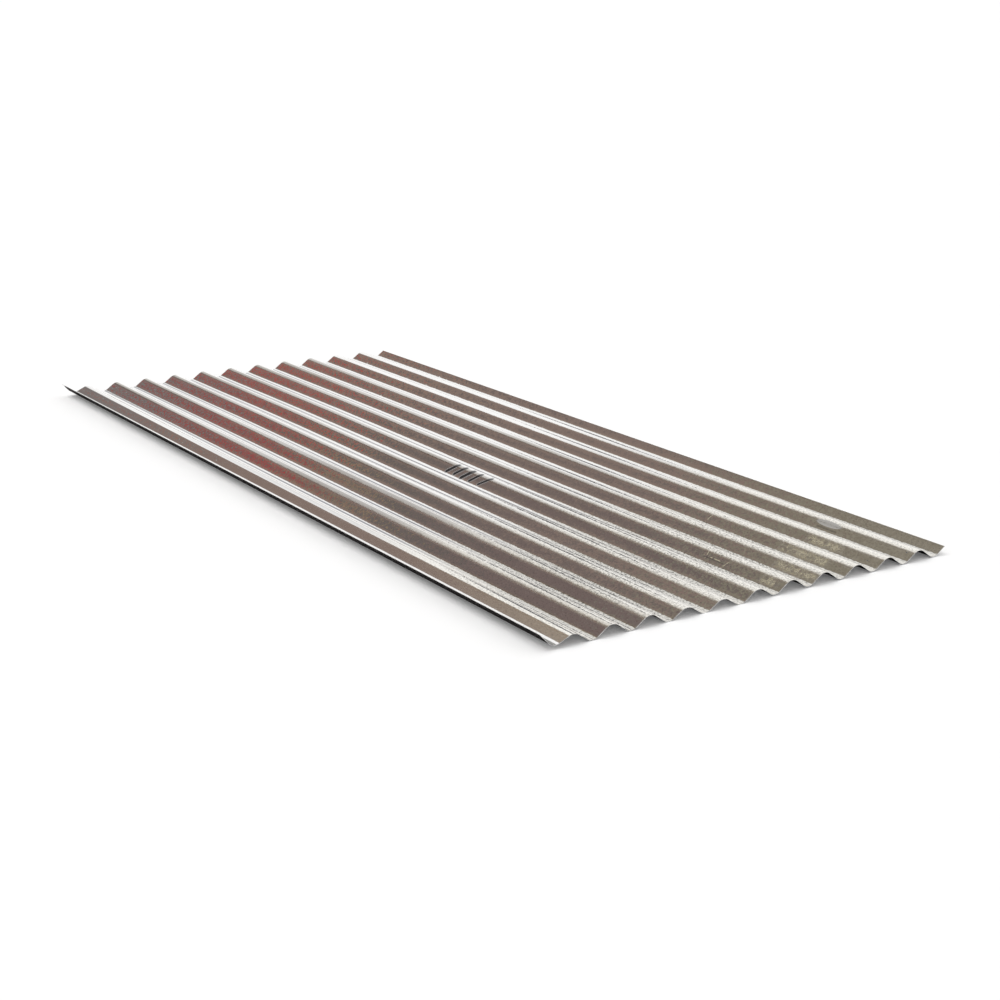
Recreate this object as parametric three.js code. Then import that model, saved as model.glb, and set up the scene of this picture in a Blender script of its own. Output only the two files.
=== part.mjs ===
// Galvanised corrugated steel sheet, 18/76 profile: one roll-formed strip with
// sheared ends and an upturned lip along each side.
// Millimetres. +X runs along the corrugations, +Y across them, +Z up. The origin
// is on the floor, under the middle of the sheet.
import * as THREE from "three";

// ---- driving dimensions ----
const SHEET_LENGTH = 2000; // along the corrugations
const STEEL_THICKNESS = 0.5; // with its zinc coat
const PITCH = 76; // crest to crest
const PROFILE_DEPTH = 18; // crest to valley, on the strip's middle line
const FLANK_FLAT = 19; // straight steel between a crest's bend and a valley's
const CREST_COUNT = 11;
const LIP_FLAT = 19.5; // straight steel from the last valley's bend to the +Y edge
const SPRUNG_LIP_FLAT = 24; // the same to the -Y edge
const LIP_SPRING = THREE.MathUtils.degToRad(11); // the outer wave at -Y springs up by this
const BEND_FACETS = 11; // odd, so that a flat strip lies at each crest and valley

// ---- the bends, from the pitch, the depth and the flank ----
// A quarter wave is half a bend and half a flank:
//   quarterRun        = BEND_RADIUS * sin(angle)       + halfFlank * cos(angle)
//   PROFILE_DEPTH / 2 = BEND_RADIUS * (1 - cos(angle)) + halfFlank * sin(angle)
// so tan(angle / 2) = PROFILE_DEPTH / 2 / (quarterRun + halfFlank).
const quarterRun = PITCH / 4;
const halfFlank = FLANK_FLAT / 2;
const FLANK_ANGLE = 2 * Math.atan2(PROFILE_DEPTH / 2, quarterRun + halfFlank);
const BEND_RADIUS =
  (quarterRun - halfFlank * Math.cos(FLANK_ANGLE)) / Math.sin(FLANK_ANGLE);

// ---- the strip as the rolls leave it, from the -Y edge to the +Y edge ----
// A turn of 0 is a flat. A positive turn bends the strip up, as in a valley.
function stripRuns() {
  const flat = (length) => ({ length, turn: 0 });
  const bend = (turn) => ({ length: BEND_RADIUS * Math.abs(turn), turn });
  const valley = bend(2 * FLANK_ANGLE);
  const crest = bend(-2 * FLANK_ANGLE);
  const flank = flat(FLANK_FLAT);

  const sprungCrest = bend(LIP_SPRING - 2 * FLANK_ANGLE);
  const runs = [flat(SPRUNG_LIP_FLAT), valley, flank, sprungCrest, flank, valley];
  for (let k = 1; k < CREST_COUNT; k++) runs.push(flank, crest, flank, valley);
  runs.push(flat(LIP_FLAT));
  return runs;
}

// Walks the runs and returns the middle line's points, each with the strip's
// upward normal there.
function traceMiddleLine(runs) {
  const at = new THREE.Vector2();
  let heading = -FLANK_ANGLE - LIP_SPRING;
  const stations = [];
  const mark = () => {
    const normal = new THREE.Vector2(-Math.sin(heading), Math.cos(heading));
    stations.push({ point: at.clone(), normal });
  };

  mark();
  for (const { length, turn } of runs) {
    const facets = turn === 0 ? 1 : BEND_FACETS;
    const facetTurn = turn / facets;
    // A facet is the chord of its arc.
    const chord =
      turn === 0 ? length : 2 * BEND_RADIUS * Math.sin(Math.abs(facetTurn) / 2);
    for (let k = 0; k < facets; k++) {
      heading += facetTurn / 2;
      at.add(new THREE.Vector2(Math.cos(heading), Math.sin(heading)).multiplyScalar(chord));
      heading += facetTurn / 2;
      mark();
    }
  }
  return stations;
}

// The strip's cross-section: the middle line thickened to both sides.
function sectionShape() {
  const stations = traceMiddleLine(stripRuns());
  const side = (offset) =>
    stations.map(({ point, normal }) => point.clone().addScaledVector(normal, offset));
  const upper = side(STEEL_THICKNESS / 2);
  const lower = side(-STEEL_THICKNESS / 2);
  const outline = [...lower, ...upper.reverse()];

  // Centred across, and standing on its valleys.
  const box = new THREE.Box2().setFromPoints(outline);
  const foot = new THREE.Vector2((box.min.x + box.max.x) / 2, box.min.y);
  return new THREE.Shape(outline.map((point) => point.sub(foot)));
}

function corrugatedSheet() {
  const geometry = new THREE.ExtrudeGeometry(sectionShape(), {
    depth: SHEET_LENGTH,
    steps: 1,
    bevelEnabled: false,
  });
  const galvanisedSteel = new THREE.MeshStandardMaterial({
    color: 0x9a948c,
    metalness: 1,
    roughness: 0.35,
  });
  const mesh = new THREE.Mesh(geometry, galvanisedSteel);
  mesh.name = "corrugated_sheet";

  // The section is drawn in (x, y) and extruded along z: turn them to (Y, Z) and X.
  const across = new THREE.Vector3(0, 1, 0);
  const up = new THREE.Vector3(0, 0, 1);
  const along = new THREE.Vector3(1, 0, 0);
  mesh.quaternion.setFromRotationMatrix(new THREE.Matrix4().makeBasis(across, up, along));
  mesh.position.x = -SHEET_LENGTH / 2;
  return mesh;
}

const sheet = new THREE.Group();
sheet.add(corrugatedSheet());

export default sheet;
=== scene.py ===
"""Looks of one galvanised corrugated steel sheet, lying on a pale studio floor.

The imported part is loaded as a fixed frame. A Geometry Nodes tree rolls the same
strip, shades its bends smooth and lifts it a little off true, as handling does.
The finish, the floor, the light and the camera are made around it. Lengths are
in metres and angles in radians unless a name says otherwise.
"""

import logging
import math
from collections.abc import Callable
from dataclasses import dataclass, field
from enum import Enum

import bpy
from mathutils import Matrix, Vector


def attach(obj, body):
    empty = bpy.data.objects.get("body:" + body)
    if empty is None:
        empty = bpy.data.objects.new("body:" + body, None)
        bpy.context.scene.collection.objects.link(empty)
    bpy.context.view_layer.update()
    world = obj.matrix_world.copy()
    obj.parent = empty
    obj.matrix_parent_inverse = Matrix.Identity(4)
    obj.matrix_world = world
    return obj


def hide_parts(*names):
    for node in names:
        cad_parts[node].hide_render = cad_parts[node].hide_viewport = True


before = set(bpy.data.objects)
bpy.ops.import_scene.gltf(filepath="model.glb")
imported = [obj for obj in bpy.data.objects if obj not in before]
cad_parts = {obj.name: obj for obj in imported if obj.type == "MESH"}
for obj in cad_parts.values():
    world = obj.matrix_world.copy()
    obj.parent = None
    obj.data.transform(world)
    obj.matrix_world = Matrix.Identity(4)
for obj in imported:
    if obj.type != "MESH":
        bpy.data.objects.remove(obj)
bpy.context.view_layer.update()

LOG = logging.getLogger("corrugated_sheet")
MM = 0.001
UNDERSIDE_RUN = 2.0  # added to the strip map on the lower face, so that the two faces differ
RIM_SHARE = 0.04  # width of the narrow facets along the rims, as a share of a broad one
RGB = tuple[float, float, float]
Point = tuple[float, float]


def joined_by(operation: str, swapped: bool = False) -> Callable[["Wire", "Wire | float"], "Wire"]:
    """Makes one of a wire's arithmetic methods.

    Args:
        operation: the Math node's operation.
        swapped: whether the other value comes first.

    Returns:
        A method that adds the node and gives its output.
    """
    def method(self: "Wire", other: "Wire | float") -> "Wire":
        """Joins this and the other value to a new Math node."""
        return self.bench.math(operation, *((other, self) if swapped else (self, other)))
    return method


class Wire:
    """A socket that Python arithmetic joins to Math nodes of the same tree."""

    __add__, __radd__ = joined_by("ADD"), joined_by("ADD", swapped=True)
    __sub__, __rsub__ = joined_by("SUBTRACT"), joined_by("SUBTRACT", swapped=True)
    __mul__, __rmul__ = joined_by("MULTIPLY"), joined_by("MULTIPLY", swapped=True)
    __truediv__, __mod__ = joined_by("DIVIDE"), joined_by("MODULO")

    def __init__(self, bench: "Bench", socket: bpy.types.NodeSocket) -> None:
        """Keeps the bench that makes the nodes and the socket to read."""
        self.bench = bench
        self.socket = socket

    def above(self, other: "Wire | float") -> "Wire":
        """1 where this is greater than the other, and 0 elsewhere."""
        return self.bench.math("GREATER_THAN", self, other)

    def equals(self, other: "Wire | float") -> "Wire":
        """1 where this is within 0.5 of the other, for whole numbers."""
        return self.bench.math("COMPARE", self, other, 0.5)

    def floor(self) -> "Wire":
        """Largest whole number that isn't greater."""
        return self.bench.math("FLOOR", self)

    def unit(self) -> "Wire":
        """Kept between 0 and 1."""
        return self.bench.math("MINIMUM", self.most(0.0), 1.0)

    def most(self, *others: "Wire | float") -> "Wire":
        """Compares values.

        Args:
            others: wires or numbers to compare with this one.

        Returns:
            The largest of them all.
        """
        result = self
        for other in others:
            result = self.bench.math("MAXIMUM", result, other)
        return result

    def size(self) -> "Wire":
        """Distance from zero."""
        return self.bench.math("ABSOLUTE", self)

    def hump(self, centre: float, half: float, soft: float) -> "Wire":
        """1 within half of the centre, falling smoothly to 0 over the soft width."""
        return (self - centre).size().ramp(half + soft, half)

    def between(self, low: float, high: float, soft: float) -> "Wire":
        """1 from low to high, with sides that fade over twice the soft width."""
        return self.ramp(low - soft, low + soft) * self.ramp(high + soft, high - soft)

    def ramp(self, low: float, high: float) -> "Wire":
        """Smooth step from 0 at low to 1 at high.

        Args:
            low: value that gives 0. It may be the larger of the two.
            high: value that gives 1.

        Returns:
            The stepped value.
        """
        feeds = {"Value": self, "From Min": low, "From Max": high}
        return self.bench.read("ShaderNodeMapRange", "Result", feeds, interpolation_type="SMOOTHSTEP")


Source = Wire | bpy.types.NodeSocket | float | str | tuple
Feeds = dict[str | int, Source]


class Bench:
    """Makes and joins the nodes of one tree, for geometry, surfaces and the world."""

    def __init__(self, tree: bpy.types.NodeTree) -> None:
        """Keeps the tree that the nodes go into."""
        self.tree = tree

    def join(self, source: Source, target: bpy.types.NodeSocket) -> None:
        """Feeds a socket.

        Args:
            source: a wire, another socket or a plain value.
            target: the socket that takes it.
        """
        if isinstance(source, Wire):
            self.tree.links.new(source.socket, target)
        elif isinstance(source, bpy.types.NodeSocket):
            self.tree.links.new(source, target)
        else:
            target.default_value = source

    def feed(self, node: bpy.types.Node, feeds: Feeds) -> None:
        """Feeds several inputs of a node, by their names or numbers."""
        for socket, source in feeds.items():
            self.join(source, node.inputs[socket])

    def add(self, kind: str, feeds: Feeds | None = None, **settings: object) -> bpy.types.Node:
        """Adds a node.

        Args:
            kind: the node's type name.
            feeds: what goes into its inputs.
            settings: properties of the node itself.

        Returns:
            The new node.
        """
        node = self.tree.nodes.new(kind)
        for name, value in settings.items():
            setattr(node, name, value)
        self.feed(node, feeds or {})
        return node

    def read(self, kind: str, output: str | int = 0, feeds: Feeds | None = None, **settings: object) -> Wire:
        """Adds a node and gives one of its outputs."""
        return Wire(self, self.add(kind, feeds, **settings).outputs[output])

    def math(self, operation: str, *values: Wire | float) -> Wire:
        """Adds a Math node and feeds its inputs in order."""
        return self.read("ShaderNodeMath", 0, dict(enumerate(values)), operation=operation)

    def vector(self, operation: str, *values: Wire | tuple) -> Wire:
        """Adds a Vector Math node whose answer is a vector."""
        return self.read("ShaderNodeVectorMath", "Vector", dict(enumerate(values)), operation=operation)

    def measure(self, operation: str, *values: Wire | tuple) -> Wire:
        """Adds a Vector Math node whose answer is a number, such as a length."""
        return self.read("ShaderNodeVectorMath", "Value", dict(enumerate(values)), operation=operation)

    def combine(self, x: Wire | float, y: Wire | float, z: Wire | float = 0.0) -> Wire:
        """Makes a vector of three numbers."""
        return self.read("ShaderNodeCombineXYZ", 0, {0: x, 1: y, 2: z})

    def split(self, source: Wire) -> tuple[Wire, ...]:
        """Takes a vector apart into its three numbers."""
        return tuple(Wire(self, number) for number in self.add("ShaderNodeSeparateXYZ", {0: source}).outputs)

    def blend(self, share: Wire | float, a: Wire | RGB, b: Wire | RGB) -> Wire:
        """Mixes two colours.

        Args:
            share: 0 gives a, and 1 gives b.
            a: first colour.
            b: second colour.

        Returns:
            The mixed colour.
        """
        first, second = (value if isinstance(value, Wire) else (*value, 1.0) for value in (a, b))
        feeds = {0: share, 6: first, 7: second}
        return self.read("ShaderNodeMix", 2, feeds, data_type="RGBA", clamp_factor=True)

    def noise(self, place: Wire, scale: float, detail: float = 2.0, rough: float = 0.5) -> Wire:
        """Adds a Noise Texture.

        Args:
            place: coordinates, in metres.
            scale: waves for each metre.
            detail: number of finer layers.
            rough: share that each finer layer keeps.

        Returns:
            A number around 0.5.
        """
        feeds = {"Vector": place, "Scale": scale, "Detail": detail, "Roughness": rough}
        return self.read("ShaderNodeTexNoise", 0, feeds, noise_dimensions="3D")


def new_material(name: str) -> tuple[bpy.types.Material, Bench, bpy.types.Node]:
    """Makes a material.

    Args:
        name: the material's name.

    Returns:
        The material, the bench of its tree and its main shader.
    """
    made = bpy.data.materials.new(name)
    made.use_nodes = True
    return made, Bench(made.node_tree), made.node_tree.nodes["Principled BSDF"]


@dataclass(frozen=True)
class StripSection:
    """Sizes of the rolled strip, the same as the solid's."""

    length: float = 2.0
    thickness: float = 0.5 * MM
    pitch: float = 76 * MM
    depth: float = 18 * MM
    flank: float = 19 * MM
    crests: int = 11
    lip: float = 19.5 * MM
    sprung_lip: float = 24 * MM
    spring: float = math.radians(11)

    @property
    def angle(self) -> float:
        """Slope of the flanks."""
        return 2.0 * math.atan2(self.depth / 2.0, self.pitch / 4.0 + self.flank / 2.0)

    @property
    def radius(self) -> float:
        """Radius of the bends, at the middle of the steel."""
        return (self.pitch / 4.0 - self.flank / 2.0 * math.cos(self.angle)) / math.sin(self.angle)

    @property
    def wave_run(self) -> float:
        """Length of strip in one wave."""
        return 2.0 * (self.flank + 2.0 * self.angle * self.radius)

    @property
    def crest_run(self) -> float:
        """Length of strip from the sprung lip's rim to the first crest's top."""
        return self.sprung_lip + self.flank + (3.0 * self.angle - self.spring) * self.radius


@dataclass
class SheetTree:
    """Geometry Nodes that roll the strip from its flats and bends.

    The lift and drop curves run across the sheet from the sprung lip, 0 to 1, and their heights are
    shares of lift and drop.

    Attributes:
        section: the strip's sizes, which become the tree's named inputs.
        bend_steps: facets along each bend.
        flat_steps: facets along each flat.
        length_steps: facets along the sheet.
        lift: greatest lift of the waves off true.
        drop: greatest drop of the crests.
        end_lift: curve of the lift at the +X end.
        end_drop: curve of the drop of the crests at the +X end.
        middle_lift: curve of the lift in the other half.
        end_reach: where along the sheet the end's curves start and come into full.
        middle_reach: the same for the middle's curve, from either side.
        true_lip: share of the width next to the sprung lip that stays true.
        weld: points closer than this are made one.
        inputs: identifiers of the tree's named inputs.
    """

    section: StripSection
    bend_steps: int = 11
    flat_steps: int = 2
    length_steps: int = 120
    lift: float = 4 * MM
    drop: float = 2 * MM
    end_lift: tuple[Point, ...] = (
        (0.0, 0.0), (0.08, 0.05), (0.17, 0.25), (0.25, 0.22), (0.32, 0.02), (0.43, 0.0),
        (0.50, 0.25), (0.56, 0.72), (0.64, 0.65), (0.71, 0.45), (0.85, 0.36), (1.0, 0.30))
    end_drop: tuple[Point, ...] = (
        (0.0, 0.0), (0.22, 0.0), (0.27, 0.15), (0.34, 0.75),
        (0.42, 0.95), (0.49, 0.30), (0.54, 0.0), (1.0, 0.0))
    middle_lift: tuple[Point, ...] = (
        (0.0, 0.0), (0.10, 0.0), (0.25, 0.30), (0.38, 0.55),
        (0.50, 0.50), (0.65, 0.18), (0.85, 0.0), (1.0, 0.0))
    end_reach: Point = (-0.15, 1.15)
    middle_reach: tuple[Point, Point] = ((-0.98, -0.5), (0.15, -0.5))
    true_lip: Point = (0.03, 0.12)
    weld: float = 0.01 * MM
    inputs: dict[str, str] = field(default_factory=dict)

    def _entry(self, bench: Bench) -> dict[str, Wire]:
        """Adds the tree's named inputs and its output.

        Args:
            bench: the tree's bench.

        Returns:
            The inputs by name.
        """
        kinds = {
            "Float": ("Length", "Thickness", "Pitch", "Depth", "Flank", "Lip", "Sprung Lip", "Lip Spring"),
            "Int": ("Crests", "Bend Steps", "Flat Steps", "Length Steps"),
            "Material": ("Sheet Finish", "Edge Finish"),
        }
        face = bench.tree.interface
        for kind, names in kinds.items():
            for name in names:
                socket = face.new_socket(name=name, in_out="INPUT", socket_type=f"NodeSocket{kind}")
                self.inputs[name] = socket.identifier
        face.new_socket(name="Geometry", in_out="OUTPUT", socket_type="NodeSocketGeometry")
        entry = bench.add("NodeGroupInput")
        return {name: Wire(bench, entry.outputs[name]) for name in self.inputs}

    def _station(self, sizes: dict[str, Wire], bends: dict[str, Wire], row: Wire) -> tuple[Wire, Wire]:
        """Reads one point of the strip's walk.

        Args:
            sizes: the tree's named inputs.
            bends: flank angle, arc lengths and the count of bends.
            row: the point's number across the strip.

        Returns:
            The length of strip before the point, and the strip's heading there.
        """
        per_pair = sizes["Flat Steps"] + sizes["Bend Steps"]
        pair = (row / per_pair).floor()
        within = row - pair * per_pair
        along_flat = (within / sizes["Flat Steps"]).unit()
        along_bend = ((within - sizes["Flat Steps"]) / sizes["Bend Steps"]).unit()

        first = pair.equals(0.0)
        last = pair.equals(bends["count"])
        second = pair.equals(1.0)
        past_second = pair.above(1.5)
        flank, lips = sizes["Flank"], sizes["Lip"] - sizes["Flank"]
        flat = flank + last * lips + first * (sizes["Sprung Lip"] - flank)
        before_flats = (1.0 - first) * (sizes["Sprung Lip"] + (pair - 1.0) * flank)
        bend = bends["arc"] - second * bends["cut"]
        before_bends = pair * bends["arc"] - past_second * bends["cut"]
        strip = before_flats + before_bends + along_flat * flat + along_bend * bend

        odd = pair % 2.0
        whole_turn = 2.0 * bends["angle"]
        turned = odd * whole_turn + past_second * sizes["Lip Spring"]
        turn = (1.0 - 2.0 * odd) * whole_turn + second * sizes["Lip Spring"]
        heading = turned + along_bend * turn - bends["angle"] - sizes["Lip Spring"]
        return strip, heading

    def _bends(self, bench: Bench, sizes: dict[str, Wire]) -> dict[str, Wire]:
        """Works out the bends from the pitch, the depth and the flank.

        Args:
            bench: the tree's bench.
            sizes: the tree's named inputs.

        Returns:
            The flanks' slope, the bends' arc, what the spring takes off one arc, and the count of
            bends.
        """
        quarter, half_flank = sizes["Pitch"] / 4.0, sizes["Flank"] / 2.0
        angle = 2.0 * bench.math("ARCTAN2", sizes["Depth"] / 2.0, quarter + half_flank)
        radius = (quarter - half_flank * bench.math("COSINE", angle)) / bench.math("SINE", angle)
        return {
            "angle": angle,
            "arc": 2.0 * angle * radius,
            "cut": sizes["Lip Spring"] * radius,
            "count": 2.0 * sizes["Crests"] + 1.0,
        }

    def _even(self, number: Wire, steps: Wire) -> Wire:
        """Numbers the stations so that a narrow facet runs along both rims.

        Args:
            number: the station's number, with one more station at each rim.
            steps: count of the broad facets.

        Returns:
            The station's place, counted in broad facets.
        """
        inner = number.bench.math("MINIMUM", (number - 1.0).most(RIM_SHARE), steps - RIM_SHARE)
        first, last = 1.0 - number.above(0.5), number.above(steps + 1.5)
        return inner + (last - first) * RIM_SHARE

    def _curve(self, share: Wire, shape: tuple[Point, ...]) -> Wire:
        """Draws a smooth curve.

        Args:
            share: place on the curve, 0 to 1.
            shape: points that it goes through, as place and height.

        Returns:
            The curve's height.
        """
        node = share.bench.add("ShaderNodeFloatCurve", {"Value": share})
        points = node.mapping.curves[0].points
        points[0].location, points[-1].location = shape[0], shape[-1]
        for spot in shape[1:-1]:
            points.new(*spot)
        node.mapping.update()
        return Wire(share.bench, node.outputs[0])

    def _unevenness(self, bench: Bench) -> Wire:
        """Slight lift of the waves off true, greatest towards the +X end.

        Args:
            bench: the tree's bench.

        Returns:
            How far each point moves up.
        """
        x, y, z = bench.split(bench.read("GeometryNodeInputPosition"))
        share = (y / (self.section.pitch * (self.section.crests + 1)) + 0.5).unit()
        towards_end = x.ramp(*self.end_reach)
        end = self._curve(share, self.end_lift) * towards_end
        inwards, outwards = (x.ramp(*reach) for reach in self.middle_reach)
        middle = self._curve(share, self.middle_lift) * inwards * outwards
        trodden = self._curve(share, self.end_drop) * towards_end * (z / self.section.depth).unit()
        return ((end + middle) * self.lift - trodden * self.drop) * share.ramp(*self.true_lip)

    def _mapped(self, geometry: bpy.types.NodeSocket, x: Wire, run: Wire) -> bpy.types.NodeSocket:
        """Stores the strip's map.

        Args:
            geometry: the strip.
            x: place along the sheet.
            run: place across the flat strip.

        Returns:
            The strip with its map.
        """
        bench = x.bench
        feeds = {"Geometry": geometry, "Name": "strip_map", "Value": bench.combine(x, run)}
        node = bench.add("GeometryNodeStoreNamedAttribute", feeds, data_type="FLOAT2", domain="CORNER")
        return node.outputs[0]

    def _centred(self, bench: Bench, geometry: bpy.types.NodeSocket) -> bpy.types.NodeSocket:
        """Moves the strip so that it stands on the floor, centred across.

        Args:
            bench: the tree's bench.
            geometry: the strip's underside.

        Returns:
            The moved geometry's socket.
        """
        box = bench.add("GeometryNodeBoundBox", {0: geometry})
        low, high = Wire(bench, box.outputs["Min"]), Wire(bench, box.outputs["Max"])
        middle = bench.vector("MULTIPLY", bench.vector("ADD", low, high), (0.0, -0.5, 0.0))
        drop = bench.vector("MULTIPLY", low, (0.0, 0.0, -1.0))
        feeds = {"Geometry": geometry, "Offset": bench.vector("ADD", middle, drop)}
        return bench.add("GeometryNodeSetPosition", feeds).outputs[0]

    def _walked(self, bench: Bench, sizes: dict[str, Wire]) -> tuple[bpy.types.NodeSocket, Wire, Wire, Wire]:
        """Walks along the strip and lays its underside.

        Args:
            bench: the tree's bench.
            sizes: the tree's named inputs.

        Returns:
            The underside, then for each point its place along the sheet, its place across the flat
            strip and the way that the steel's thickness goes.
        """
        bends = self._bends(bench, sizes)
        facets = bends["count"] * (sizes["Flat Steps"] + sizes["Bend Steps"]) + sizes["Flat Steps"]
        # One station more than facets, and one more for the narrow facet along each rim.
        rows, columns = facets + 3.0, sizes["Length Steps"] + 3.0
        grid = bench.add("GeometryNodeMeshGrid", {
            "Size X": 1.0, "Size Y": 1.0, "Vertices X": columns, "Vertices Y": rows})

        index = bench.read("GeometryNodeInputIndex")
        column = (index / rows).floor()
        row = index - column * rows
        strip, heading = self._station(sizes, bends, self._even(row, facets))
        next_strip, next_heading = self._station(sizes, bends, self._even(row + 1.0, facets))
        # A bend's chord is a little shorter than its arc, by the first term of the sine's series.
        half_turn = (next_heading - heading) / 2.0
        chord = (next_strip - strip) * (1.0 - half_turn * half_turn / 6.0)
        facet = (heading + next_heading) / 2.0
        step = bench.combine(0.0, chord * bench.math("COSINE", facet), chord * bench.math("SINE", facet))
        x = (self._even(column, sizes["Length Steps"]) / sizes["Length Steps"] - 0.5) * sizes["Length"]
        steps = {"Value": step, "Group ID": column}
        fields = {
            "walked": bench.read("GeometryNodeAccumulateField", "Trailing", steps,
                                 data_type="FLOAT_VECTOR", domain="POINT"),
            "facing": bench.combine(strip, -1.0 * bench.math("SINE", heading), bench.math("COSINE", heading)),
            "along": bench.combine(x, 0.0),
        }
        kept = bench.add("GeometryNodeCaptureAttribute", domain="POINT")
        for name in fields:
            kept.capture_items.new("VECTOR", name)
        bench.feed(kept, {"Geometry": grid.outputs["Mesh"], **fields})
        walked, facing, along = (bench.split(Wire(bench, kept.outputs[name])) for name in fields)

        x, run, outward = along[0], facing[0], bench.combine(0.0, facing[1], facing[2])
        half = bench.read("ShaderNodeVectorMath", 0, {0: outward, "Scale": sizes["Thickness"] / 2.0},
                          operation="SCALE")
        under = bench.vector("SUBTRACT", bench.combine(x, walked[1], walked[2]), half)
        laid = bench.add("GeometryNodeSetPosition", {"Geometry": kept.outputs["Geometry"], "Position": under})
        return laid.outputs[0], x, run, outward

    def build(self) -> bpy.types.NodeTree:
        """Makes the tree.

        Returns:
            A geometry tree with named inputs for the sizes and the two finishes.
        """
        tree = bpy.data.node_groups.new("rolled_strip", "GeometryNodeTree")
        bench = Bench(tree)
        sizes = self._entry(bench)
        laid, x, run, outward = self._walked(bench, sizes)
        lifted = bench.add("GeometryNodeSetPosition", {
            "Geometry": self._centred(bench, laid),
            "Offset": bench.combine(0.0, 0.0, self._unevenness(bench))}).outputs[0]

        thick = bench.add("GeometryNodeExtrudeMesh", {
            "Mesh": self._mapped(lifted, x, run), "Offset": outward,
            "Offset Scale": sizes["Thickness"], "Individual": False}, mode="FACES")
        lower = self._mapped(lifted, x, run + UNDERSIDE_RUN)
        turned = bench.add("GeometryNodeFlipFaces", {"Mesh": lower})
        joined = bench.add("GeometryNodeJoinGeometry")
        for skin in (thick, turned):
            bench.join(skin.outputs["Mesh"], joined.inputs[0])
        welded = bench.add("GeometryNodeMergeByDistance", {
            "Geometry": joined.outputs[0], "Distance": self.weld})

        cut = Wire(bench, thick.outputs["Side"])
        smooth = bench.add("GeometryNodeSetShadeSmooth", {
            "Geometry": welded.outputs[0], "Shade Smooth": 1.0 - cut}, domain="FACE")
        real = bench.add("GeometryNodeRealizeInstances", {0: smooth.outputs[0]})
        faces = bench.add("GeometryNodeSetMaterial", {
            "Geometry": real.outputs[0], "Material": sizes["Sheet Finish"]})
        edges = bench.add("GeometryNodeSetMaterial", {
            "Geometry": faces.outputs[0], "Selection": cut, "Material": sizes["Edge Finish"]})
        bench.add("NodeGroupOutput", {0: edges.outputs[0]})
        return tree

    def values(self, sheet: bpy.types.Material, edge: bpy.types.Material) -> dict[str, object]:
        """Sets the tree's inputs.

        Args:
            sheet: finish of the two faces.
            edge: finish of the cut edges.

        Returns:
            The value of each input, by its identifier.
        """
        s = self.section
        named = {
            "Length": s.length, "Thickness": s.thickness, "Pitch": s.pitch, "Depth": s.depth,
            "Flank": s.flank, "Lip": s.lip, "Sprung Lip": s.sprung_lip, "Lip Spring": s.spring,
            "Crests": s.crests, "Bend Steps": self.bend_steps, "Flat Steps": self.flat_steps,
            "Length Steps": self.length_steps, "Sheet Finish": sheet, "Edge Finish": edge,
        }
        return {self.inputs[name]: value for name, value in named.items()}


@dataclass(frozen=True)
class Patch:
    """A rectangle with soft sides on the strip's map.

    Attributes:
        x: its ends along the sheet.
        run: its sides across the flat strip.
        soft: half the width over which a side fades.
    """

    x: Point
    run: Point
    soft: float = 6 * MM

    def mask(self, x: Wire, run: Wire) -> Wire:
        """1 inside and 0 outside."""
        return x.between(*self.x, self.soft) * run.between(*self.run, self.soft)


@dataclass(frozen=True)
class Stroke:
    """A straight mark between two points of the strip's map.

    Attributes:
        start: one end.
        end: the other end.
        width: distance from the middle at which the mark has faded out.
        core: share of the width that is solid.
    """

    start: Point
    end: Point
    width: float = 1.2 * MM
    core: float = 0.35

    def mask(self, flat: Wire) -> Wire:
        """Draws the mark.

        Args:
            flat: the strip's map, as a vector.

        Returns:
            1 on the mark and 0 away from it.
        """
        bench = flat.bench
        way = (self.end[0] - self.start[0], self.end[1] - self.start[1], 0.0)
        from_start = bench.vector("SUBTRACT", flat, (*self.start, 0.0))
        along = bench.measure("DOT_PRODUCT", from_start, way)
        share = (along / (way[0] ** 2 + way[1] ** 2)).unit()
        nearest = bench.vector("MULTIPLY", bench.combine(share, share, 0.0), way)
        gap = bench.measure("LENGTH", bench.vector("SUBTRACT", from_start, nearest))
        return gap.ramp(self.width, self.width * self.core)


@dataclass(frozen=True)
class StripPlace:
    """A place on the zinc, as the wires of one material that the marks are drawn from.

    Attributes:
        bench: the material's bench.
        flat: the strip's map, as a vector.
        x: place along the sheet from its middle.
        run: length of strip from the sprung lip's rim.
        gap: length of strip from the nearest crest's top, less than 0 on the sprung lip's side.
        upper: 1 on the upper face and 0 on the lower one.
        ripple: noise with waves of some millimetres.
        fine: noise with waves of a millimetre or two.
        cloud: noise with waves a hand wide.
        streak: long thin noise along the sheet.
        grain: three random numbers for each zinc grain.
        grain_tone: the first of them.
    """

    bench: Bench
    flat: Wire
    x: Wire
    run: Wire
    gap: Wire
    upper: Wire
    ripple: Wire
    fine: Wire
    cloud: Wire
    streak: Wire
    grain: Wire
    grain_tone: Wire


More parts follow.
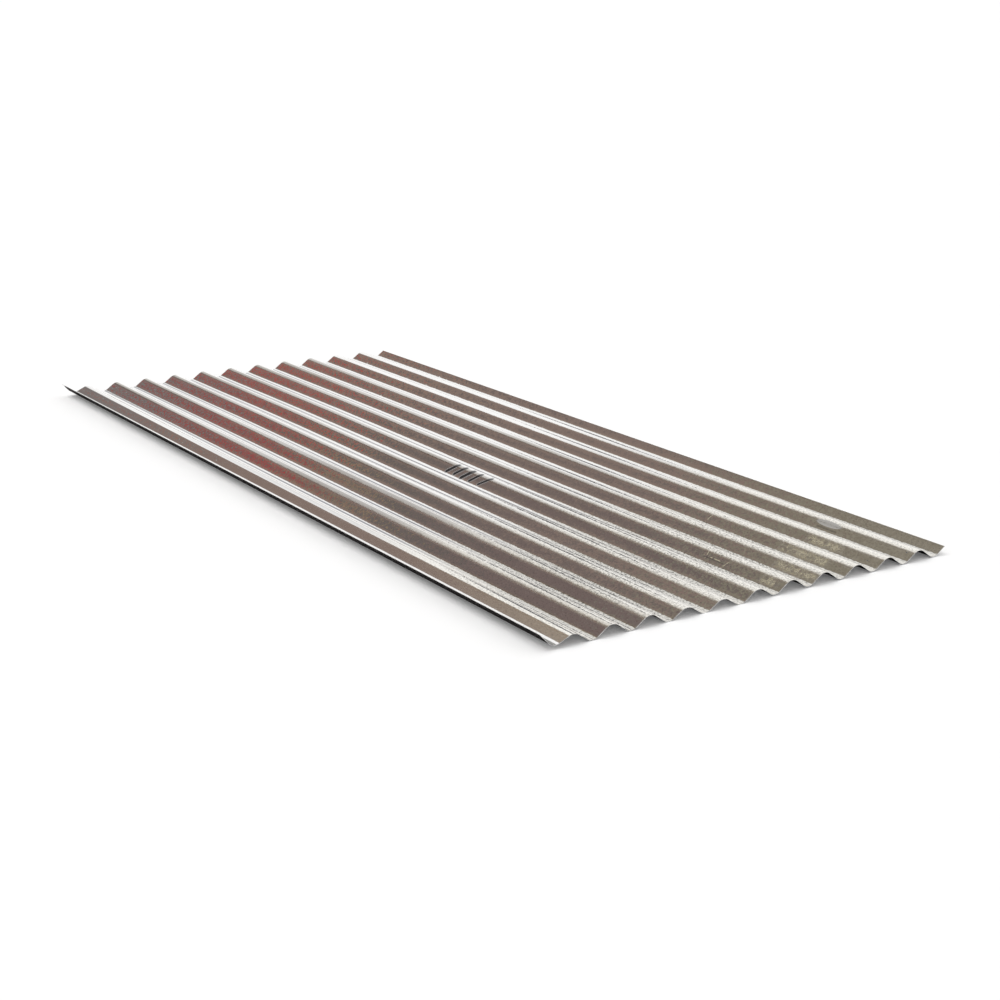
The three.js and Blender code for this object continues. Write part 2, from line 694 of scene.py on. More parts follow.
@dataclass(frozen=True)
class GalvanisedFinish:
    """Hot-dipped zinc on the sheet's two faces.

    The pairs in ramp() and hump() are places on the strip, in metres: along the sheet for x, across
    the flat strip for run, and from a crest's top for gap.

    Attributes:
        section: the strip that the marks are laid out on.
        pale: colour of the bright grains.
        dull: colour of the dull grains.
        shoulder_shade: colour of the painted shade along the shoulders of the crests that face the sprung
            lip.
        cream_sheen: painted warm sheen over the bends towards the +X end.
        fleck_and_shade: colour of the flecks on the bends, and of the painted shade along the valleys towards
            the +X end.
        grime_and_shade: colour of the painted shade lines along the valleys and on the first crests, and of
            the soot specks and the dark rubs.
        oxide: colour of the white storage stain.
        dent_sheen_colour: colour of a dull spot over a shallow dent, paler as a painted sheen of the dent.
        pitted: colour inside the pits.
        ink: colour of the marker strokes.
        shoulder_shade_cover: how much of the zinc the painted shoulder shade hides.
        cream_sheen_cover: the same for the painted warm sheen.
        soot_cover: the same for the finest dark specks.
        rub_and_shadow_cover: the same for the dark rubs and the dent's painted shadow.
        roughness: roughness of the smoothest grains.
        grain: width of a zinc grain.
        calm: where the sprung wave, smooth and still, passes into the others.
        first_top: where the painted shoulder shade starts, on the first crest.
        first_flank: where the flanks' waviness starts, below that crest.
        eased_ends: where the easing of the bends starts and ends across the sheet.
        stains: where the storage stain lies.
        pits: centres of small dark pits.
        pit_rim: distances from a pit's centre at which it starts and is full.
        scratches: bright scratches.
        rubs_and_dent_shadow: dark rubs, the first of them a painted shadow just beyond the dent's lower rim.
        strokes: a plain hatch left by a marker.
        dent_sheen: centre of the dent's painted sheen.
        dent_sheen_half: half of its length and width.
    """

    section: StripSection
    pale: RGB = (0.985, 0.978, 0.965)
    dull: RGB = (0.87, 0.86, 0.85)
    shoulder_shade: RGB = (0.36, 0.325, 0.285)
    cream_sheen: RGB = (0.96, 0.915, 0.81)
    fleck_and_shade: RGB = (0.17, 0.165, 0.15)
    grime_and_shade: RGB = (0.11, 0.115, 0.145)
    oxide: RGB = (0.53, 0.48, 0.35)
    dent_sheen_colour: RGB = (0.43, 0.42, 0.40)
    pitted: RGB = (0.03, 0.028, 0.027)
    ink: RGB = (0.018, 0.018, 0.020)
    shoulder_shade_cover: float = 0.92
    cream_sheen_cover: float = 0.55
    soot_cover: float = 0.32
    rub_and_shadow_cover: float = 0.35
    roughness: float = 0.068
    grain: float = 4.5 * MM
    calm: Point = (0.064, 0.090)
    first_top: Point = (0.070, 0.082)
    first_flank: Point = (0.049, 0.055)
    eased_ends: tuple[Point, Point] = ((0.060, 0.090), (1.002, 0.994))
    stains: tuple[Patch, ...] = (
        Patch((0.895, 0.995), (0.646, 0.662)),
        Patch((0.825, 0.945), (0.731, 0.748)),
        Patch((0.815, 0.905), (0.817, 0.833)),
        Patch((0.945, 0.985), (0.560, 0.576)),
    )
    pits: tuple[Point, ...] = (
        (0.9836, 0.917), (0.476, 0.9127), (0.734, 0.818), (0.969, 0.8236), (0.656, 0.756))
    pit_rim: Point = (2.0 * MM, 0.9 * MM)
    scratches: tuple[Stroke, ...] = (
        Stroke((0.625, 0.729), (0.627, 0.748)),
        Stroke((0.800, 0.562), (0.797, 0.577)),
        Stroke((0.793, 0.5684), (0.836, 0.5680)),
        Stroke((0.851, 0.561), (0.855, 0.572)),
    )
    rubs_and_dent_shadow: tuple[Stroke, ...] = (
        # The first is a painted shadow just beyond the dent's lower rim; the others are dark rubs.
        Stroke((0.765, 0.9065), (0.812, 0.9060), 3.0 * MM),
        Stroke((0.796, 0.5660), (0.845, 0.5655), 2.0 * MM),
        Stroke((0.622, 0.7285), (0.630, 0.7285), 2.5 * MM),
    )
    strokes: tuple[Stroke, ...] = (
        Stroke((0.068, 0.4755), (0.083, 0.4985), 8.0 * MM),
        Stroke((0.096, 0.4765), (0.111, 0.4995), 7.5 * MM),
        Stroke((0.124, 0.4750), (0.140, 0.4985), 9.0 * MM),
        Stroke((0.154, 0.4755), (0.169, 0.4990), 7.0 * MM),
        Stroke((0.186, 0.4760), (0.206, 0.4995), 6.0 * MM),
    )
    dent_sheen: Point = (0.785, 0.9180)
    dent_sheen_half: Point = (0.034, 0.0075)

    def material(self) -> bpy.types.Material:
        """Makes the zinc's material.

        Returns:
            A material that reads the sheet's strip map.
        """
        made, bench, shader = new_material("galvanised_zinc")
        at = self._place(bench)
        # Painted shade along the shoulders of the crests that face the sprung lip.
        shoulder_shade = self._shoulder_shade(at) * at.upper
        # Grey flecks, and painted shade along the valleys towards the +X end.
        flecks_and_shade = self._flecks_and_shade(at) * at.upper
        broken = at.ripple.ramp(0.38, 0.54)
        bright = [scratch.mask(at.flat) * broken * 0.75 for scratch in self.scratches]
        worn = self._stain(at).most(*bright)
        # Painted sheen of a shallow dent on a dull spot, strongest along its lower rim as a painted
        # highlight.
        dent_sheen = self._dent_sheen_mask(at)
        pits = self._pits(at)
        strokes = [stroke.mask(at.flat) for stroke in self.strokes]
        inked = strokes[0].most(*strokes[1:]) * at.fine.ramp(0.22, 0.34)

        layers = [
            (shoulder_shade * self.shoulder_shade_cover, self.shoulder_shade),
            # Painted warm sheen over the bends towards the +X end.
            (self._bends(at) * at.x.ramp(0.2, 0.7) * at.upper * self.cream_sheen_cover, self.cream_sheen),
            (flecks_and_shade, self.fleck_and_shade),
            # Painted shade lines along the valleys and on the first crests.
            (self._painted_shade_lines(at) * at.upper, self.grime_and_shade),
            (self._soot(at) * self.soot_cover, self.grime_and_shade),
            ((worn * 3.0).unit(), self.oxide),
            ((dent_sheen * 3.0).unit(), self.dent_sheen_colour),
            *((smear.mask(at.flat) * self.rub_and_shadow_cover, self.grime_and_shade) for smear in self.rubs_and_dent_shadow),
            (pits, self.pitted),
            (inked, self.ink),
        ]
        tone = 0.58 + (at.grain_tone - 0.5) * 0.55 + (at.cloud - 0.5) * 0.8 + (at.fine - 0.5) * 1.0
        colour = bench.blend(tone.unit(), self.dull, self.pale)
        for mask, tint in layers:
            colour = bench.blend(mask, colour, tint)

        worn = worn.most(dent_sheen)
        calm = 0.06 + at.run.ramp(*self.calm) * 0.94
        rough = self._roughness(at, calm) + worn * 0.35 + shoulder_shade * 0.08 + flecks_and_shade * 0.1
        bench.feed(shader, {
            "Base Color": colour, "Metallic": 1.0 - worn.most(pits, inked), "Roughness": rough,
            "Normal": self._normal(at, calm)})
        return made

    def _place(self, bench: Bench) -> StripPlace:
        """Reads the strip's map and draws the noise that several marks share.

        Args:
            bench: the material's bench.

        Returns:
            The place that the marks are drawn from.
        """
        flat = bench.read("ShaderNodeUVMap", uv_map="strip_map")
        x, run, _ = bench.split(flat)
        wave = self.section.wave_run
        ripple = bench.noise(flat, 170.0, 2.0)
        bent = bench.vector("ADD", flat, bench.combine((ripple - 0.5) * (3 * MM), 0.0, ripple * 0.01))
        grain = bench.read("ShaderNodeTexVoronoi", "Color", {"Vector": bent, "Scale": 1.0 / self.grain},
                           voronoi_dimensions="3D", feature="F1")
        return StripPlace(
            bench=bench, flat=flat, x=x, run=run,
            gap=(run + (1.5 * wave - self.section.crest_run)) % wave - wave / 2.0,
            upper=1.0 - run.above(UNDERSIDE_RUN - 0.5),
            ripple=ripple,
            fine=bench.noise(flat, 620.0, 2.0, 0.6),
            cloud=bench.noise(bench.combine(x, run * 1.6), 9.0, 3.0),
            streak=bench.noise(bench.combine(x * 5.0, run * 260.0), 1.0, 3.0),
            grain=grain, grain_tone=bench.split(grain)[0])

    def _roughness(self, at: StripPlace, calm: Wire) -> Wire:
        """Roughness of the clean zinc, greatest on the shoulders that face the sprung lip.

        Args:
            at: the place on the zinc.
            calm: how lively the zinc is, least on the sprung wave.

        Returns:
            The roughness.
        """
        grained = (self.roughness + (at.grain_tone - 0.5) * 0.05
                   + (at.cloud - 0.45).unit() * 0.10 + (at.streak - 0.5) * 0.03)
        rough = self.roughness + (grained - self.roughness) * calm
        shoulder = at.gap.hump(-9.5 * MM, 2.0 * MM, 4.0 * MM) * at.upper
        return rough + shoulder * (0.05 + at.x.ramp(0.0, 0.5) * 0.08) * calm

    def _normal(self, at: StripPlace, calm: Wire) -> Wire:
        """Fine relief of the zinc, the tilt of its grains and the eased ends of the flanks.

        Args:
            at: the place on the zinc.
            calm: how lively the zinc is, least on the sprung wave.

        Returns:
            The normal that the light sees.
        """
        bench, x, run = at.bench, at.x, at.run
        swell = bench.noise(bench.combine(x * 0.6, run), 55.0, 1.0)
        lively = (0.30 + x.ramp(-0.1, 0.6) * 0.40) * calm
        relief = ((at.ripple * 0.14 + swell * 0.24) * lively
                  + at.grain_tone * 0.006 + at.streak * 0.02 + at.fine * 0.02)
        bump = bench.read("ShaderNodeBump", 0, {"Strength": 1.0, "Distance": MM, "Height": relief})

        facet = bench.vector("SUBTRACT", at.grain, (0.5, 0.5, 0.5))
        tilt = 0.022 + x.ramp(0.1, 0.6) * 0.024 - x.ramp(-0.1, -0.5) * 0.006
        tilt = tilt * (0.10 + run.ramp(*self.calm) * 0.90)
        facet = bench.vector("MULTIPLY", facet, bench.combine(tilt, tilt))
        patchy = bench.noise(bench.combine(x + run * 0.8, run), 66.0, 3.0, 0.65)
        wavy = at.gap.hump(-21.5 * MM, 8.0 * MM, 3.0 * MM) * (0.06 + x.ramp(0.1, -0.4) * 0.23)
        wavy = wavy * run.ramp(*self.first_flank)
        uneven = bench.combine((at.ripple - 0.5) * wavy, (patchy - 0.5) * wavy)
        eased = bench.combine(0.0, self._easing(at) * at.upper)
        for turn in (uneven, eased):
            facet = bench.vector("ADD", facet, turn)
        return bench.vector("NORMALIZE", bench.vector("ADD", bump, facet))

    def _easing(self, at: StripPlace) -> Wire:
        """Tilt that eases the ends of the flanks into the bends, as rolling does.

        Args:
            at: the place on the zinc.

        Returns:
            The tilt across the sheet.
        """
        valley, crest = at.x.ramp(0.4, -0.2), 0.15 + at.x.ramp(-0.6, 0.0) * 0.5
        near, far = (
            at.gap.hump(side * 32.5 * MM, 1.5 * MM, 4.0 * MM) * valley
            + at.gap.hump(side * 10.5 * MM, 1.0 * MM, 4.0 * MM) * crest for side in (-1, 1))
        start, end = (at.run.ramp(*pair) for pair in self.eased_ends)
        return (near - far) * 0.10 * start * end

    def _bends(self, at: StripPlace) -> Wire:
        """1 over the tops of the crests and the bottoms of the valleys."""
        return (at.gap.hump(-3.0 * MM, 7.0 * MM, 4.0 * MM) + at.gap.size().ramp(32.0 * MM, 36.0 * MM)).unit()

    def _shoulder_shade(self, at: StripPlace) -> Wire:
        """Painted shade in bands along the shoulders of the crests that face the sprung lip.

        Args:
            at: the place on the zinc.

        Returns:
            The strength of the painted shade.
        """
        x, run = at.x, at.run
        far = run.ramp(0.27, 0.34)
        shade_weight = 1.0 - x.ramp(-0.15, 0.45) * (0.20 + far * 0.30) - x.ramp(0.35, 0.75) * 0.22
        shade_weight = shade_weight * (1.0 - x.hump(-0.40, 0.22, 0.20) * 0.34)
        # The band keeps about 5 mm off the top, and wanders by a few mm along the sheet.
        first = (1.0 - far) * x.ramp(-0.6, -0.1) * x.ramp(0.7, 0.35)
        shift = first * 2.4 - far * x.ramp(-0.7, -0.4) * 1.4 - x.ramp(0.0, 0.45) * far * 1.8
        centre = (x.ramp(-0.5, 0.0) * -1.6 - 5.0 + shift) * MM
        unshaded = run.ramp(0.74, 0.80) * (1.0 - x.ramp(-0.1, 0.5) * 0.85)
        band = ((at.gap - centre) / (1.0 + first * 0.4)).hump(0.0, 2.4 * MM, 4.2 * MM)
        band = band * shade_weight * (1.0 - unshaded)
        return band * (0.8 + at.streak * 0.4).unit() * run.ramp(*self.first_top)

    def _flecks_and_shade(self, at: StripPlace) -> Wire:
        """Grey flecks over the crests and the valleys, most of them towards the +X end, and a band of painted
        shade along each valley there.

        Args:
            at: the place on the zinc.

        Returns:
            The strength of the flecks and of the painted shade.
        """
        bench, x, run, gap = at.bench, at.x, at.run, at.gap
        crest = gap.hump(0.0, 9.0 * MM, 4.0 * MM) * (0.8 + x.ramp(0.5, 0.7) * 0.2)
        bent = (crest + gap.size().ramp(31.0 * MM, 35.0 * MM)).unit()
        specks = bench.noise(bench.combine(x * 0.7, run), 290.0, 3.0, 0.75).ramp(0.48, 0.59)
        rows = bench.noise(bench.combine(x * 30.0, run * 420.0), 1.0, 1.0).ramp(0.50, 0.62)
        share = 0.02 + x.ramp(0.15, 0.55) * 0.48 + x.ramp(0.5, 0.8) * 0.28 - x.ramp(0.82, 1.0) * 0.25
        share = share * (1.0 - run.ramp(0.68, 0.78) * 0.5) * (0.60 + run.ramp(0.13, 0.22) * 0.40)
        flecks = bent * (specks * 0.9 + rows * 0.15) * share
        # A soft band of painted shade along each valley towards the +X end.
        return (flecks + gap.hump(-36.0 * MM, 2.0 * MM, 2.5 * MM) * x.ramp(0.3, 0.7) * 0.26).unit()

    def _painted_shade_lines(self, at: StripPlace) -> Wire:
        """Painted shade: a thin dark line along each valley, and a dull band on the first crests.

        Args:
            at: the place on the zinc.

        Returns:
            The strength of the painted shade.
        """
        x, run = at.x, at.run
        centre = (-39.3 - x.ramp(-0.7, 0.1) * 2.1 + run.ramp(0.33, 0.27) * 1.2) * MM
        line = (at.gap - centre).hump(0.0, 0.9 * MM, 2.2 * MM)
        line = line * (0.66 + x.ramp(-0.4, 0.1) * 0.22) * (1.0 - x.ramp(0.3, 0.65) * 0.75)
        dull = at.gap.hump(-3.0 * MM, 2.0 * MM, 3.0 * MM) * x.ramp(-0.6, -0.1) * x.ramp(0.6, 0.3)
        return line + dull * run.ramp(0.34, 0.27) * 0.20

    def _soot(self, at: StripPlace) -> Wire:
        """The finest dark specks, most of them towards the +X end."""
        specks = at.bench.noise(at.bench.combine(at.x * 0.6, at.run), 430.0, 2.0, 0.6).ramp(0.54, 0.68)
        return specks * at.x.ramp(0.0, 0.8)

    def _stain(self, at: StripPlace) -> Wire:
        """White storage stain: thin winding lines and spots in a few places.

        Args:
            at: the place on the zinc.

        Returns:
            The strength of the stain.
        """
        bench = at.bench
        patches = [patch.mask(at.x, at.run) for patch in self.stains]
        wind = bench.noise(bench.vector("ADD", at.flat, (3.1, 0.0, 0.4)), 300.0, 2.0, 0.6)
        lines = (wind - 0.5).size().ramp(0.085, 0.025)
        spread = bench.noise(at.flat, 75.0, 2.0).ramp(0.36, 0.52)
        return patches[0].most(*patches[1:]) * (lines * 0.60 + 0.07) * spread

    def _pits(self, at: StripPlace) -> Wire:
        """Dark pits, a few millimetres wide.

        Args:
            at: the place on the zinc.

        Returns:
            1 in the pits and 0 around them.
        """
        gaps = (at.bench.vector("SUBTRACT", at.flat, (*pit, 0.0)) for pit in self.pits)
        masks = [at.bench.measure("LENGTH", gap).ramp(*self.pit_rim) for gap in gaps]
        return masks[0].most(*masks[1:])

    def _dent_sheen_mask(self, at: StripPlace) -> Wire:
        """A dull spot over a shallow dent near the top of a flank, its paler tone a painted sheen of the
        dent, strongest along its lower rim as a painted highlight.

        Args:
            at: the place on the zinc.

        Returns:
            The strength of the dull spot and its painted sheen.
        """
        low = at.run - self.dent_sheen[1]
        across = at.bench.combine((at.x - self.dent_sheen[0]) / self.dent_sheen_half[0], low / self.dent_sheen_half[1])
        oval = at.bench.measure("LENGTH", across).ramp(1.0, 0.90)
        # Stronger along the lower rim: a painted highlight where the dent catches the light.
        return oval * (0.58 + low.ramp(-0.001, -0.006) * 0.20)


@dataclass(frozen=True)
class CutEdgeFinish:
    """Sheared steel along the ends and the lips.

    Attributes:
        steel: colour of the bare steel.
        zinc: colour of the zinc that the shears smeared over it.
        roughness: of both.
    """

    steel: RGB = (0.50, 0.49, 0.48)
    zinc: RGB = (0.88, 0.87, 0.86)
    roughness: float = 0.42

    def material(self) -> bpy.types.Material:
        """Makes the cut steel's material.

        Returns:
            A material with zinc smeared over parts of the steel.
        """
        made, bench, shader = new_material("cut_edge")
        smear = bench.noise(bench.read("ShaderNodeTexCoord", "Object"), 90.0, 3.0)
        bench.feed(shader, {
            "Base Color": bench.blend(smear.ramp(0.42, 0.62), self.steel, self.zinc),
            "Metallic": 1.0, "Roughness": self.roughness})
        return made


@dataclass
class CorrugatedSheet:
    """The sheet itself: one rolled strip of galvanised steel.

    Attributes:
        section: the strip's sizes.
        name: of the sheet's object and mesh.
    """

    section: StripSection = field(default_factory=StripSection)
    name: str = "galvanised_sheet"

    def build(self) -> bpy.types.Object:
        """Rolls the strip and turns it into a plain mesh.

        Returns:
            The sheet's object, at the origin and with no modifier.
        """
        rolls = SheetTree(self.section)
        face, edge = GalvanisedFinish(self.section), CutEdgeFinish()
        tree = rolls.build()
        start = bpy.data.objects.new(self.name, bpy.data.meshes.new(self.name))
        bpy.context.scene.collection.objects.link(start)
        modifier = start.modifiers.new("rolls", "NODES")
        modifier.node_group = tree
        for identifier, value in rolls.values(face.material(), edge.material()).items():
            modifier[identifier] = value
        graph = bpy.context.evaluated_depsgraph_get()
        graph.update()
        mesh = bpy.data.meshes.new_from_object(start.evaluated_get(graph), depsgraph=graph)
        start.modifiers.clear()
        start.data = mesh
        mesh.name = self.name
        if mesh.materials[0] is None:
            mesh.materials.pop(index=0)
        return start

    def place(self, piece: bpy.types.Object) -> None:
        """Puts the sheet on the frame in place of the plain solid.

        Args:
            piece: the sheet's object.
        """
        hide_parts("corrugated_sheet")
        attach(piece, "root")


class Ray(Enum):
    """Kinds of ray that see the floor's glow."""

    CAMERA = "Is Camera Ray"
    GLOSSY = "Is Glossy Ray"
    TRANSMISSION = "Is Transmission Ray"


@dataclass(frozen=True)
class Card:
    """A soft-sided card that hangs around the sheet.

    Attributes:
        colour: of the card.
        bearing: its sides, in degrees off the sheet's length.
        height: its foot and top, in degrees over the floor.
        soft: half the width over which a side fades, then the same for the foot and the top.
        strength: how much of what is behind it the card hides.
        mottle: how far the speckle thins it.
    """

    colour: RGB
    bearing: Point
    height: Point
    soft: Point = (2.0, 1.0)
    strength: float = 1.0
    mottle: float = 0.0

    def mask(self, bearing: Wire, height: Wire, speckle: Wire) -> Wire:
        """Draws the card.

        Args:
            bearing: of the direction looked in.
            height: of that direction.
            speckle: noise of that direction, 0 to 1.

        Returns:
            How much of the card shows.
        """
        across = bearing.between(*self.bearing, self.soft[0])
        up = height.between(*self.height, self.soft[1])
        return across * up * (self.strength - speckle * self.mottle)


@dataclass(frozen=True)
class Beam:
    """A dark slanted bar in front of the pale side.

    Attributes:
        colour: of the bar.
        foot: bearing of its foot, in degrees.
        lean: how many degrees of bearing it loses in one degree of height.
        half: half of its width.
        soft: width of its soft sides.
        foot_height: where its foot fades in.
        height: where its top fades out.
    """

    colour: RGB
    foot: float
    lean: float
    half: float
    soft: float
    foot_height: Point
    height: Point

    def mask(self, bearing: Wire, height: Wire) -> Wire:
        """Draws the bar.

        Args:
            bearing: of the direction looked in.
            height: of that direction.

        Returns:
            How much of the bar shows.
        """
        bar = (bearing + height * self.lean).hump(self.foot, self.half, self.soft)
        return bar * height.ramp(*self.foot_height) * height.ramp(*self.height)


@dataclass(frozen=True)
class Tint:
    """A colour of the surroundings, and where it comes in.

    Attributes:
        colour: of the tint.
        reach: the bearings or heights at which it starts and at which it is full, in degrees.
    """

    colour: RGB
    reach: Point

    def over(self, below: Wire | RGB, value: Wire) -> Wire:
        """Lays the tint over the colour below it, by a bearing or a height."""
        return value.bench.blend(value.ramp(*self.reach), below, self.colour)


@dataclass(frozen=True)
class Studio:
    """Plain soft light: pale all round, and a quiet brown wall beyond each end of the sheet.

    Bearings are in degrees off the sheet's length and heights in degrees over the floor. A pair
    gives where something starts and where it is full.

    Attributes:
        bright: the pale surroundings.
        quiet: the wall's colour on the side away from the long pale side.
        warm: its colour next to the pale side, by bearing.
        haze: the wall's foot, by height.
        crown: the wall's top, by height.
        overhead: the ceiling, by height.
        wall_foot: heights at which the wall comes up out of the pale surroundings.
        wall_top: heights at which it goes back into them.
        edge: bearing where the wall ends, and how soft that edge is.
        far_edge: the same for its other side.
        lean: how far the edge leans over the heights in lean_height.
        lean_height: where it leans.
        skirt: the grey screen below the wall.
        skirt_bearing: its two sides.
        skirt_height: its foot and its top.
        beams: dark bars in front of the pale side.
        cards: coloured patches on the wall.
        floor_half: half the width of the floor.
        floor_grey: brightness of the floor's own colour.
        floor_glow: what the floor gives off to the rays named in Ray.
        mat_low: the mat's corner at -X and -Y.
        mat_high: its opposite corner.
        shade_mat_colour: of the mat, a painted shade under the sheet that only its undersides mirror.
        sun: strength of the soft lamp.
        sun_width_deg: how wide the lamp looks from the sheet.
        sun_turn_deg: the lamp's turn about X and about Y.
    """

    bright: RGB = (1.01, 1.01, 1.01)
    quiet: RGB = (0.134, 0.117, 0.110)
    warm: Tint = Tint((0.235, 0.176, 0.152), (-6.0, -1.5))
    haze: Tint = Tint((0.198, 0.174, 0.167), (26.5, 24.5))
    crown: Tint = Tint((0.222, 0.198, 0.152), (42.0, 47.0))
    overhead: Tint = Tint((0.50, 0.50, 0.50), (58.0, 74.0))
    wall_foot: Point = (15.0, 22.0)
    wall_top: Point = (66.0, 56.0)
    edge: Point = (8.8, 1.1)
    far_edge: Point = (-23.0, 4.0)
    lean: float = 4.5
    lean_height: Point = (29.0, 44.0)
    skirt: RGB = (0.40, 0.40, 0.395)
    skirt_bearing: tuple[Point, Point] = ((-42.0, -34.0), (15.0, 10.0))
    skirt_height: tuple[Point, Point] = ((4.5, 8.5), (25.0, 19.0))
    beams: tuple[Beam, ...] = (
        Beam((0.12, 0.12, 0.13), 39.6, 0.20, 0.9, 1.2, (3.0, 6.5), (30.0, 25.0)),
    )
    cards: tuple[Card, ...] = (
        Card((0.22, 0.105, 0.100), (-10.0, 3.0), (26.0, 28.6), (4.0, 1.2), 0.8, 0.5),
        Card((0.46, 0.040, 0.036), (-10.0, 1.0), (27.4, 30.4), (4.0, 0.8), 1.2, 1.0),
        Card((0.170, 0.128, 0.119), (-16.0, -5.0), (35.5, 43.0), (1.5, 1.5)),
        Card((0.325, 0.272, 0.218), (4.5, 14.0), (37.5, 46.0), (1.2, 3.5)),
        Card((0.262, 0.236, 0.190), (-5.0, 3.5), (48.0, 57.0), (1.5, 1.6)),
        Card((0.36, 0.27, 0.16), (-9.0, 2.0), (31.0, 32.2), (2.0, 0.6), 1.0, 1.2),
    )
    floor_half: float = 150.0
    floor_grey: float = 0.86
    floor_glow: float = 0.09
    mat_low: Point = (-1.06, -0.447)
    mat_high: Point = (1.0, 0.445)
    shade_mat_colour: RGB = (0.030, 0.026, 0.026)
    sun: float = 1.0
    sun_width_deg: float = 50
    sun_turn_deg: Point = (18, -12)

    def surroundings(self) -> None:
        """Makes the world, the same when the sheet is turned end for end."""
        world = bpy.data.worlds.new("studio")
        bpy.context.scene.world = world
        world.use_nodes = True
        bench = Bench(world.node_tree)
        direction = bench.read("ShaderNodeTexCoord", "Generated")
        x, y, z = bench.split(direction)
        degrees = 180.0 / math.pi
        turned = bench.math("ARCTAN2", y, -1.0 * x) * degrees
        bearing = (turned + 270.0) % 180.0 - 90.0
        height = bench.math("ARCSINE", z) * degrees

        light = bench.blend(self._inside(bearing, height), self._pale(bearing, height),
                            self._wall(direction, bearing, height))
        bench.feed(world.node_tree.nodes["Background"], {"Color": light, "Strength": 1.0})

    def _wall(self, direction: Wire, bearing: Wire, height: Wire) -> Wire:
        """Draws the brown wall with its cards.

        Args:
            direction: the direction looked in.
            bearing: of that direction.
            height: of that direction.

        Returns:
            The wall's colour.
        """
        bench = direction.bench
        speckle = bench.noise(direction, 34.0, 2.0, 0.55).ramp(0.38, 0.62)
        wall = self.warm.over(self.quiet, bearing)
        for tint in (self.haze, self.crown):
            wall = tint.over(wall, height)
        for card in self.cards:
            wall = bench.blend(card.mask(bearing, height, speckle), wall, card.colour)
        return wall

    def _pale(self, bearing: Wire, height: Wire) -> Wire:
        """Draws the pale surroundings with the ceiling, the skirt and the beams.

        Args:
            bearing: of the direction looked in.
            height: of that direction.

        Returns:
            Their colour.
        """
        bench = bearing.bench
        pale = self.overhead.over(self.bright, height)
        left, right, foot, top = (
            value.ramp(*pair) for value, pairs in ((bearing, self.skirt_bearing), (height, self.skirt_height))
            for pair in pairs)
        pale = bench.blend(left * right * foot * top, pale, self.skirt)
        for beam in self.beams:
            pale = bench.blend(beam.mask(bearing, height), pale, beam.colour)
        return pale

    def _inside(self, bearing: Wire, height: Wire) -> Wire:
        """Tells the wall from the pale surroundings.

        Args:
            bearing: of the direction looked in.
            height: of that direction.

        Returns:
            1 on the wall and 0 beside it.
        """
        leant = bearing - height.ramp(*self.lean_height) * self.lean
        (edge, soft), (far, far_soft) = self.edge, self.far_edge
        inside = leant.ramp(edge + soft, edge - soft) * bearing.ramp(far - far_soft, far + far_soft)
        return inside * height.ramp(*self.wall_foot) * height.ramp(*self.wall_top)

    def _slab(self, name: str, low: Point, high: Point, z: float,
              finish: bpy.types.Material) -> bpy.types.Object:
        """Lays one flat face.

        Args:
            name: of the object and its mesh.
            low: its corner at -X and -Y.
            high: the opposite corner.
            z: its height.
            finish: its material.

        Returns:
            The face's object.
        """
        mesh = bpy.data.meshes.new(name)
        corners = [(low[0], low[1], z), (high[0], low[1], z), (high[0], high[1], z), (low[0], high[1], z)]
        mesh.from_pydata(corners, [], [(0, 1, 2, 3)])
        mesh.materials.append(finish)
        laid = bpy.data.objects.new(name, mesh)
        bpy.context.scene.collection.objects.link(laid)
        return laid

    def floor(self) -> bpy.types.Object:
        """Makes the pale floor.

        Returns:
            The floor's object.
        """
        made, bench, shader = new_material("pale_floor")
        bench.tree.nodes.remove(shader)
        grey = (self.floor_grey, self.floor_grey, self.floor_grey, 1.0)
        matt = bench.add("ShaderNodeBsdfDiffuse", {"Color": grey})
        glow = bench.add("ShaderNodeEmission", {"Color": (1.0, 1.0, 1.0, 1.0), "Strength": self.floor_glow})
        both = bench.add("ShaderNodeAddShader", {0: matt.outputs[0], 1: glow.outputs[0]})
        paths = bench.add("ShaderNodeLightPath")
        camera, *others = (Wire(bench, paths.outputs[ray.value]) for ray in Ray)
        pick = bench.add("ShaderNodeMixShader", {
            0: camera.most(*others), 1: matt.outputs[0], 2: both.outputs[0]})
        bench.feed(bench.tree.nodes["Material Output"], {"Surface": pick.outputs[0]})
        half = self.floor_half
        ground = self._slab("floor", (-half, -half), (half, half), -0.2 * MM, made)
        return ground

    def mat(self) -> bpy.types.Object:
        """Lays a dark mat under the sheet, a painted shade that only its undersides mirror.

        Returns:
            The mat's object.
        """
        made, bench, shader = new_material("painted_shade_mat")
        bench.feed(shader, {"Base Color": (*self.shade_mat_colour, 1.0), "Roughness": 1.0})
        mat = self._slab("mat", self.mat_low, self.mat_high, -0.1 * MM, made)
        # Seen only in reflections, where it darkens the undersides as shade under the sheet would.
        mat.visible_camera = mat.visible_diffuse = mat.visible_shadow = False
        return mat

    def lamp(self) -> bpy.types.Object:
        """Hangs one broad soft lamp that lights the floor and gives the shadow.

        Returns:
            The lamp's object.
        """
        data = bpy.data.lights.new("soft_lamp", "SUN")
        data.energy = self.sun
        data.angle = math.radians(self.sun_width_deg)
        lamp = bpy.data.objects.new("soft_lamp", data)
        lamp.rotation_euler = (*(math.radians(turn) for turn in self.sun_turn_deg), 0.0)
        lamp.visible_glossy = False
        bpy.context.scene.collection.objects.link(lamp)
        return lamp


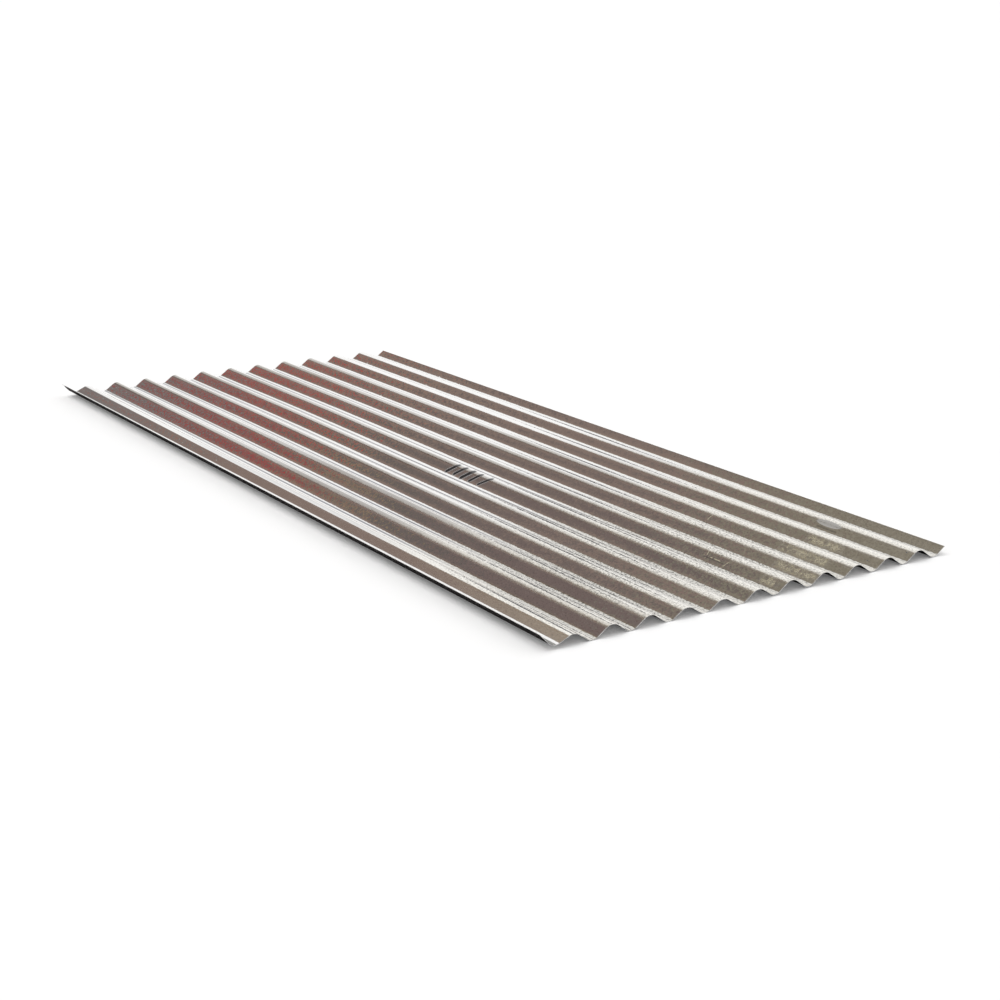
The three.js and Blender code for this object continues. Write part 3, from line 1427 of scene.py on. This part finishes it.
@dataclass(frozen=True)
class StudioCamera:
    """Camera by its bearing, height, tilt of the horizon, distance and lens.

    Attributes:
        azimuth_deg: bearing; 0 looks along +Y and 90 along -X.
        elevation_deg: height of the camera over the target.
        roll_deg: turn about the line of sight.
        distance: from the target.
        lens_mm: focal length.
        frame_mm: width of the frame.
        shift: lens shift, as shares of the frame's width.
        target: the point looked at.
    """

    azimuth_deg: float = 55.01
    elevation_deg: float = 16.957
    roll_deg: float = 0.761
    distance: float = 3.449
    lens_mm: float = 64.47
    frame_mm: float = 36.0
    shift: Point = (-0.03297, 0.01084)
    target: tuple[float, float, float] = (0.38191, -0.02731, 0.00025)

    def place(self) -> bpy.types.Object:
        """Makes the camera and hands it to the scene.

        Returns:
            The camera's object.
        """
        az, el, roll = (math.radians(a) for a in (self.azimuth_deg, self.elevation_deg, self.roll_deg))
        back = Vector((math.sin(az) * math.cos(el), -math.cos(az) * math.cos(el), math.sin(el)))
        right = (-back).cross(Vector((0, 0, 1))).normalized()
        up = right.cross(-back)
        across = right * math.cos(roll) + up * math.sin(roll)
        upward = up * math.cos(roll) - right * math.sin(roll)
        data = bpy.data.cameras.new("camera")
        data.lens = self.lens_mm
        data.sensor_width = self.frame_mm
        data.sensor_fit = "HORIZONTAL"
        data.shift_x, data.shift_y = self.shift
        camera = bpy.data.objects.new("camera", data)
        turn = Matrix((across, upward, back)).transposed().to_4x4()
        camera.matrix_world = Matrix.Translation(Vector(self.target) + back * self.distance) @ turn
        bpy.context.scene.collection.objects.link(camera)
        bpy.context.scene.camera = camera
        return camera


def main() -> None:
    """Builds the sheet, the studio and the camera in that order."""
    logging.basicConfig(level=logging.INFO, format="%(message)s")
    bpy.context.scene.view_settings.view_transform = "Standard"

    sheet = CorrugatedSheet()
    piece = sheet.build()
    sheet.place(piece)
    LOG.info("%s: %d faces", piece.name, len(piece.data.polygons))

    studio = Studio()
    studio.surroundings()
    LOG.info("%s: stage", studio.floor().name)
    LOG.info("%s: stage", studio.mat().name)
    LOG.info("%s: lamp", studio.lamp().name)
    camera = StudioCamera().place()
    LOG.info("%s: %.1f mm lens", camera.name, camera.data.lens)


if __name__ == "__main__":
    main()
